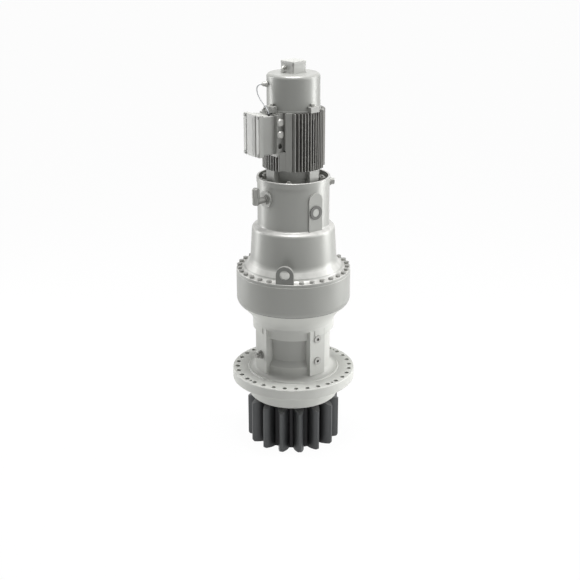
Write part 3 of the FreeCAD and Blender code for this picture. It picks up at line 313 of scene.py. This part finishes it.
# Painted shade: the floors between the fins nearly black, and the base colour below darker over the
# whole field of fins than the plain corners
fin_floor_shade = (recess, {"Inner radius": 0.093, "Outer radius": 0.1145}, (0.045, 0.042, 0.038))
motor_paint_with_fin_shade = finish(
    "motor paint with painted fin shade", colour=(0.17, 0.168, 0.156), roughness=0.45, metallic=0.1,
    grain_scale=520.0, depth=0.0002, mottle=0.2,
    layers=((dust_and_top_light, {"Amount": 0.25}, dust_and_top_light_tone), fin_floor_shade, (plain, {}, corner_tone)))
dress(motor_paint_with_fin_shade, "motor_frame")

# End shields
# The motor's lower shield, bolted by its flange to the bell's neck, and the brake's shield, held
# by four tie bolts through its lugs. Both are die-cast and sprayed silver.
shield_paint = finish("end shield paint", colour=(0.3, 0.303, 0.286), roughness=0.38, metallic=0.04,
                      grain_scale=520.0, depth=0.0002, mottle=0.12,
                      layers=((dust_and_top_light, {"Amount": 0.25}, dust_and_top_light_tone),))
dress(shield_paint, "motor_flange_shield", "brake_end_shield")

# Brake cover
# A deep-drawn steel cap in the silver coat, smoother than the castings. It sits over the brake,
# between the lugs of the end shield.
cover_paint = finish("cover paint", colour=(0.26, 0.264, 0.248), roughness=0.38, metallic=0.2,
                     grain_scale=760.0, depth=0.0001, mottle=0.07,
                     layers=((dust_and_top_light, {"Amount": 0.25}, dust_and_top_light_tone),))
dress(cover_paint, "brake_cover")

# Terminal box body and small box on the cover
# Two die-cast boxes, sprayed silver over a slightly grainy skin, on the motor's pad and on top of
# the cover. Small dark screws in the corners hold the terminal box's lid.
box_paint = finish("box paint", colour=(0.36, 0.364, 0.345), roughness=0.4, metallic=0.0,
                   grain_scale=480.0, depth=0.0002, mottle=0.1,
                   layers=((dust_and_top_light, {"Amount": 0.2}, dust_and_top_light_tone),))
dress(box_paint, "terminal_box_body", "top_box", "top_box_lid")
dress(dark_steel, "terminal_box_screws")

# Terminal box lid
# Die-cast, with a raised middle panel between two upright channels, and a narrow foot behind its
# edge that keeps a shadow gap to the box. The corner screws hold it.


def upright(name, layers, edge, material):
    """Piece from outlines in the motor's own directions, each raised between two heights."""
    mesh = bmesh.new()
    for outline, low, high in layers:
        rings = []
        for z in (low, high):
            rings.append([mesh.verts.new((x * cos(motor_clock) - y * sin(motor_clock),
                                          x * sin(motor_clock) + y * cos(motor_clock), z))
                          for x, y in outline])
        mesh.faces.new(rings[0][::-1])
        mesh.faces.new(rings[1])
        for i in range(len(outline)):
            j = (i + 1) % len(outline)
            mesh.faces.new((rings[0][i], rings[0][j], rings[1][j], rings[1][i]))
    bmesh.ops.recalc_face_normals(mesh, faces=mesh.faces)
    bmesh.ops.bevel(mesh, geom=mesh.edges[:], offset=edge, segments=2, affect="EDGES",
                    clamp_overlap=True)
    data = bpy.data.meshes.new(name)
    mesh.to_mesh(data)
    mesh.free()
    data.materials.append(material)
    piece = bpy.data.objects.new(name, data)
    bpy.context.scene.collection.objects.link(piece)
    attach(piece, "housing")
    return piece


lid_back, lid_foot, lid_channel, lid_strip, lid_panel = -0.157, -0.161, -0.1784, -0.18, -0.181
lid_left, lid_right, lid_low, lid_high = -0.04, 0.058, 0.903, 1.053
lid_gap, lid_corner = 0.003, 0.0015
channel_left, channel_right, channel_half = -0.02, 0.038, 0.0025
lid_face = [
    (lid_foot, lid_left), (lid_strip + lid_corner, lid_left), (lid_strip, lid_left + lid_corner),
    (lid_strip, channel_left - channel_half), (lid_channel, channel_left - channel_half),
    (lid_channel, channel_left + channel_half), (lid_panel, channel_left + channel_half),
    (lid_panel, channel_right - channel_half), (lid_channel, channel_right - channel_half),
    (lid_channel, channel_right + channel_half), (lid_strip, channel_right + channel_half),
    (lid_strip, lid_right - lid_corner), (lid_strip + lid_corner, lid_right), (lid_foot, lid_right)]
lid_rim = [(lid_back, lid_left + lid_gap), (lid_foot, lid_left + lid_gap),
           (lid_foot, lid_right - lid_gap), (lid_back, lid_right - lid_gap)]
lid = upright(
    "terminal_lid",
    layers=((lid_face, lid_low, lid_high), (lid_rim, lid_low + lid_gap, lid_high - lid_gap)),
    edge=0.0006, material=box_paint)
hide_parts("terminal_box_lid")

# Ribs of the terminal box lid
# Low rounded ribs cast in one with the lid's panel, upright and side by side. They stiffen the
# thin casting beside the plain field.
rib_count, rib_first, rib_spacing = 3, -0.001, -0.006
rib_radius, rib_sink, rib_end, rib_sides = 0.0009, 0.0003, 0.006, 10
rib_start = (lid_panel + rib_sink, rib_first, lid_low + rib_end)
rib_values = [
    ("Count", "NodeSocketInt", rib_count), ("First", "NodeSocketVector", rib_start),
    ("Spacing", "NodeSocketVector", (0, rib_spacing, 0)), ("Radius", "NodeSocketFloat", rib_radius),
    ("Length", "NodeSocketVector", (0, 0, lid_high - lid_low - 2 * rib_end)),
    ("Material", "NodeSocketMaterial", box_paint)]
rib_tree, rib_in, rib_out = new_tree("lid ribs", "GeometryNodeTree", rib_values,
                                     [("Mesh", "NodeSocketGeometry")])
rib_row = rib_tree.nodes.new("GeometryNodeMeshLine")
rib_line = rib_tree.nodes.new("GeometryNodeCurvePrimitiveLine")
rib_round = rib_tree.nodes.new("GeometryNodeCurvePrimitiveCircle")
rib_round.inputs["Resolution"].default_value = rib_sides
rib_body = rib_tree.nodes.new("GeometryNodeCurveToMesh")
rib_body.inputs["Fill Caps"].default_value = True
rib_set = rib_tree.nodes.new("GeometryNodeInstanceOnPoints")
rib_turn = rib_tree.nodes.new("GeometryNodeTransform")
rib_turn.inputs["Rotation"].default_value = (0, 0, motor_clock)
rib_real = rib_tree.nodes.new("GeometryNodeRealizeInstances")
rib_paint = rib_tree.nodes.new("GeometryNodeSetMaterial")
for target, source in (
        (rib_row.inputs["Count"], rib_in.outputs["Count"]),
        (rib_row.inputs["Start Location"], rib_in.outputs["First"]),
        (rib_row.inputs["Offset"], rib_in.outputs["Spacing"]),
        (rib_line.inputs["End"], rib_in.outputs["Length"]),
        (rib_round.inputs["Radius"], rib_in.outputs["Radius"]),
        (rib_body.inputs["Curve"], rib_line.outputs[0]),
        (rib_body.inputs["Profile Curve"], rib_round.outputs[0]),
        (rib_set.inputs["Points"], rib_row.outputs[0]),
        (rib_set.inputs["Instance"], rib_body.outputs[0]),
        (rib_turn.inputs["Geometry"], rib_set.outputs[0]),
        (rib_real.inputs["Geometry"], rib_turn.outputs[0]),
        (rib_paint.inputs["Geometry"], rib_real.outputs[0]),
        (rib_paint.inputs["Material"], rib_in.outputs["Material"]),
        (rib_out.inputs[0], rib_paint.outputs[0])):
    feed(rib_tree, target, source)
rib_seed = bpy.data.objects.new("rib seed", bpy.data.meshes.new("rib seed"))
bpy.context.scene.collection.objects.link(rib_seed)
rib_modifier = rib_seed.modifiers.new("ribs", "NODES")
rib_modifier.node_group = rib_tree
rib_settings = {label: value for label, socket, value in rib_values}
for item in rib_tree.interface.items_tree:
    if item.in_out == "INPUT":
        rib_modifier[item.identifier] = rib_settings[item.name]
rib_shape = rib_seed.evaluated_get(bpy.context.evaluated_depsgraph_get())
lid_ribs = bpy.data.objects.new("terminal_lid_ribs", bpy.data.meshes.new_from_object(rib_shape))
bpy.data.objects.remove(rib_seed)
bpy.context.scene.collection.objects.link(lid_ribs)
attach(lid_ribs, "housing")

# Corner wall of the motor frame beside the cable entries
# The casting's front corner runs out beside the entries as a flat wall, thick below them and a
# thin wedge above. It has the frame's plain corner paint.
corner_paint = finish("plain corner paint", colour=corner_tone, roughness=0.45, metallic=0.1,
                      grain_scale=520.0, depth=0.0002, mottle=0.2,
                      layers=((dust_and_top_light, {"Amount": 0.25}, dust_and_top_light_tone),))
wall_front = (-0.0856, -0.0686)
wall_below = [(-0.1017, -0.0529), wall_front, (-0.08, -0.062), (-0.08, -0.053)]
wall_above = [wall_front, (-0.0805, -0.053), (-0.078, -0.053), (-0.078, -0.062)]
wall_start, entries_low, entries_high, wall_end = 0.848, 0.915, 0.922, 1.053
upright("corner_wall_low", layers=((wall_below, wall_start, entries_low),), edge=0.001,
        material=corner_paint)
upright("corner_wall_high", layers=((wall_above, entries_high, wall_end),), edge=0.0005,
        material=corner_paint)

# Gears, shafts and seal carrier
# Case-hardened steel, ground on the teeth and seats, and wet with oil. The three stages' planets
# and suns look alike and differ in size.
gear_steel = finish("ground gear steel", colour=(0.5, 0.5, 0.51), roughness=0.28, metallic=0.95,
                    grain_scale=1200.0, depth=0.00005, mottle=0.15)
dress(gear_steel, "output_planet_pins", "output_sun_shaft", "middle_sun_shaft", "middle_ring_gear",
      "input_ring_gear", "rotor_shaft", "seal_carrier",
      *[stage + "_planet_" + str(i) for stage in ("output", "middle", "input") for i in (1, 2, 3)])

# Carriers and the brake's plates
# Forged and only turned where they run or clamp, so that most of the skin stays dark and rough.
# The armature plate and the magnet's body are plain steel.
forged = finish("forged carrier", colour=(0.16, 0.16, 0.165), roughness=0.55, metallic=0.7,
                grain_scale=300.0, depth=0.0004, mottle=0.25)
dress(forged, "output_carrier", "middle_carrier", "input_carrier", "brake_armature", "brake_magnet")

# Rolling bearings
# Taper roller bearings for the pinion's shaft and ball bearings for the rotor's, ground and
# polished all over.
polished = finish("bearing steel", colour=(0.66, 0.66, 0.67), roughness=0.16, metallic=1.0,
                  grain_scale=1500.0, depth=0.00002, mottle=0.05)
dress(polished, "lower_bearing_cup", "lower_bearing_cone", "upper_bearing_cup",
      "upper_bearing_cone", "motor_bearings")

# Motor's core and windings
# Stacked sheets under varnish, and enamelled copper wire bound into heads at both ends of the
# stator.
laminations = finish("laminations", colour=(0.2, 0.2, 0.21), roughness=0.5, metallic=0.6,
                     grain_scale=1600.0, depth=0.0003, mottle=0.4)
dress(laminations, "stator_core", "rotor_core")
copper = finish("enamelled copper", colour=(0.55, 0.22, 0.08), roughness=0.3, metallic=0.8,
                grain_scale=850.0, depth=0.0008, mottle=0.4)
dress(copper, "stator_windings")

# Brake disc, shaft seal and grommet
# The disc carries a pressed lining, full of fibres and grit. The seal and the cable's grommet are
# black rubber.
lining = finish("brake lining", colour=(0.13, 0.11, 0.09), roughness=0.85, metallic=0.0,
                grain_scale=900.0, depth=0.0003, mottle=0.5)
dress(lining, "brake_disc")
rubber = finish("rubber", colour=(0.03, 0.03, 0.03), roughness=0.6, metallic=0.0,
                grain_scale=700.0, depth=0.0001, mottle=0.2)
dress(rubber, "shaft_seal", "cable_grommet")

# Brake cable
# A thin round cable in a smooth grey sheath, from the gland on the cover down into the grommet on
# the terminal box. It bows outward because it is stiff for its length.
cable_diameter = 0.0042
cable_route = [
    (-0.1056, 0.0492, 1.148), (-0.1129, 0.0527, 1.1477), (-0.1183, 0.0551, 1.1447),
    (-0.1221, 0.0569, 1.1396), (-0.1236, 0.0574, 1.1332), (-0.125, 0.0545, 1.122),
    (-0.1256, 0.0465, 1.1085), (-0.1248, 0.0355, 1.0955), (-0.1238, 0.0235, 1.084),
    (-0.123, 0.012, 1.0745), (-0.123, 0.0025, 1.0665), (-0.1232, -0.004, 1.0595),
    (-0.1235, -0.0073, 1.052)]
cable_curve = bpy.data.curves.new("brake_cable_sheath", "CURVE")
cable_curve.dimensions = "3D"
cable_curve.bevel_depth = cable_diameter / 2
cable_curve.bevel_resolution = 4
cable_curve.resolution_u = 8
cable_curve.use_fill_caps = True
cable_line = cable_curve.splines.new("NURBS")
cable_line.points.add(len(cable_route) - 1)
for point, place in zip(cable_line.points, cable_route):
    point.co = (*place, 1)
cable_line.order_u = 3
cable_line.use_endpoint_u = True
sheath = finish("cable sheath", colour=(0.36, 0.37, 0.38), roughness=0.4, metallic=0.0,
                grain_scale=1400.0, depth=0.00005, mottle=0.1)
cable_curve.materials.append(sheath)
cable = bpy.data.objects.new("brake_cable_sheath", cable_curve)
bpy.context.scene.collection.objects.link(cable)
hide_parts("brake_cable")
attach(cable, "housing")

# Floor
# A wide sheet of white paper under the pinion. The camera and mirrors see it nearly as white as
# the backdrop, so that it keeps a little of the drive's shadow.
floor_half, floor_white, paper_tone, paper_roughness = 30, 0.97, (0.95, 0.95, 0.95, 1), 0.9
floor_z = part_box("pinion_shaft")[0].z
floor_mesh = bpy.data.meshes.new("floor")
floor_mesh.from_pydata([(x * floor_half, y * floor_half, floor_z)
                        for x, y in ((-1, -1), (1, -1), (1, 1), (-1, 1))], [], [(0, 1, 2, 3)])
floor = bpy.data.objects.new("floor", floor_mesh)
bpy.context.scene.collection.objects.link(floor)


def seen_straight(tree):
    """1 for a ray from the camera, a mirror or through glass, 0 for light that falls on things."""
    rays = tree.nodes.new("ShaderNodeLightPath")
    seen = calculate(tree, "MAXIMUM", rays.outputs["Is Camera Ray"], rays.outputs["Is Glossy Ray"])
    return calculate(tree, "MAXIMUM", seen, rays.outputs["Is Transmission Ray"])


floor_paper = bpy.data.materials.new("floor paper")
floor_paper.use_nodes = True
paper = floor_paper.node_tree
paper_skin = paper.nodes["Principled BSDF"]
paper_skin.inputs["Base Color"].default_value = paper_tone
paper_skin.inputs["Roughness"].default_value = paper_roughness
paper_mix = paper.nodes.new("ShaderNodeMixShader")
feed(paper, paper_mix.inputs[0], calculate(paper, "MULTIPLY", seen_straight(paper), floor_white))
feed(paper, paper_mix.inputs[1], paper_skin.outputs[0])
feed(paper, paper_mix.inputs[2], paper.nodes.new("ShaderNodeEmission").outputs[0])
feed(paper, paper.nodes["Material Output"].inputs["Surface"], paper_mix.outputs[0])
floor_mesh.materials.append(floor_paper)

# Backdrop
# Plain white where the camera or a mirror looks at it. It lights the drive only faintly, so that
# the soft boxes give the silver coat its bands.
backdrop_white, backdrop_light = 1.0, 0.09
world = bpy.data.worlds.new("studio")
world.use_nodes = True
sky = world.node_tree
backdrop = sky.nodes["Background"]
backdrop.inputs["Color"].default_value = (1, 1, 1, 1)
backdrop_strength = calculate(sky, "MULTIPLY_ADD", seen_straight(sky),
                              backdrop_white - backdrop_light, backdrop_light)
feed(sky, backdrop.inputs["Strength"], backdrop_strength)
bpy.context.scene.world = world

# Lamps
# Two tall soft boxes, one behind on the left and one on the right, a wide one to the front and one
# overhead. All are turned to the middle of the drive.
middle_height = 0.6


def soft_box(name, azimuth, height, distance, size, power):
    lamp = bpy.data.lights.new(name, "AREA")
    lamp.shape = "RECTANGLE"
    lamp.size, lamp.size_y = size
    lamp.energy = power
    stand = bpy.data.objects.new(name, lamp)
    stand.location = (distance * sin(radians(azimuth)), -distance * cos(radians(azimuth)), height)
    view = Vector((0, 0, middle_height)) - stand.location
    stand.rotation_euler = view.to_track_quat("-Z", "Y").to_euler()
    bpy.context.scene.collection.objects.link(stand)


soft_box("left box", azimuth=-152, height=1.0, distance=2.6, size=(0.5, 2.4), power=48)
soft_box("right box", azimuth=57, height=1.0, distance=2.6, size=(0.9, 2.4), power=70)
soft_box("front box", azimuth=22, height=1.9, distance=3.0, size=(1.8, 1.8), power=24)
soft_box("top box", azimuth=-42, height=3.4, distance=0.3, size=(1.2, 1.2), power=104)

# Camera
# It stands to the left of the front, above the motor, and looks down a little. The drive's axis
# lies just right of the picture's middle.
camera_azimuth = radians(-42)
camera_pitch = radians(20.4)
camera_distance = 3.891
camera_height = 1.801
image_width = 580
focal_pixels = 1080
axis_from_middle = 3.4
sensor_width = 36
lens = bpy.data.cameras.new("camera")
lens.sensor_width = sensor_width
lens.lens = sensor_width * focal_pixels / image_width
lens.shift_x = -axis_from_middle / image_width
lens.clip_end = 100
camera = bpy.data.objects.new("camera", lens)
camera.location = (camera_distance * sin(camera_azimuth),
                   -camera_distance * cos(camera_azimuth), camera_height)
camera.rotation_euler = (pi / 2 - camera_pitch, 0, camera_azimuth)
bpy.context.scene.collection.objects.link(camera)
bpy.context.scene.camera = camera
bpy.context.scene.view_settings.view_transform = "Standard"
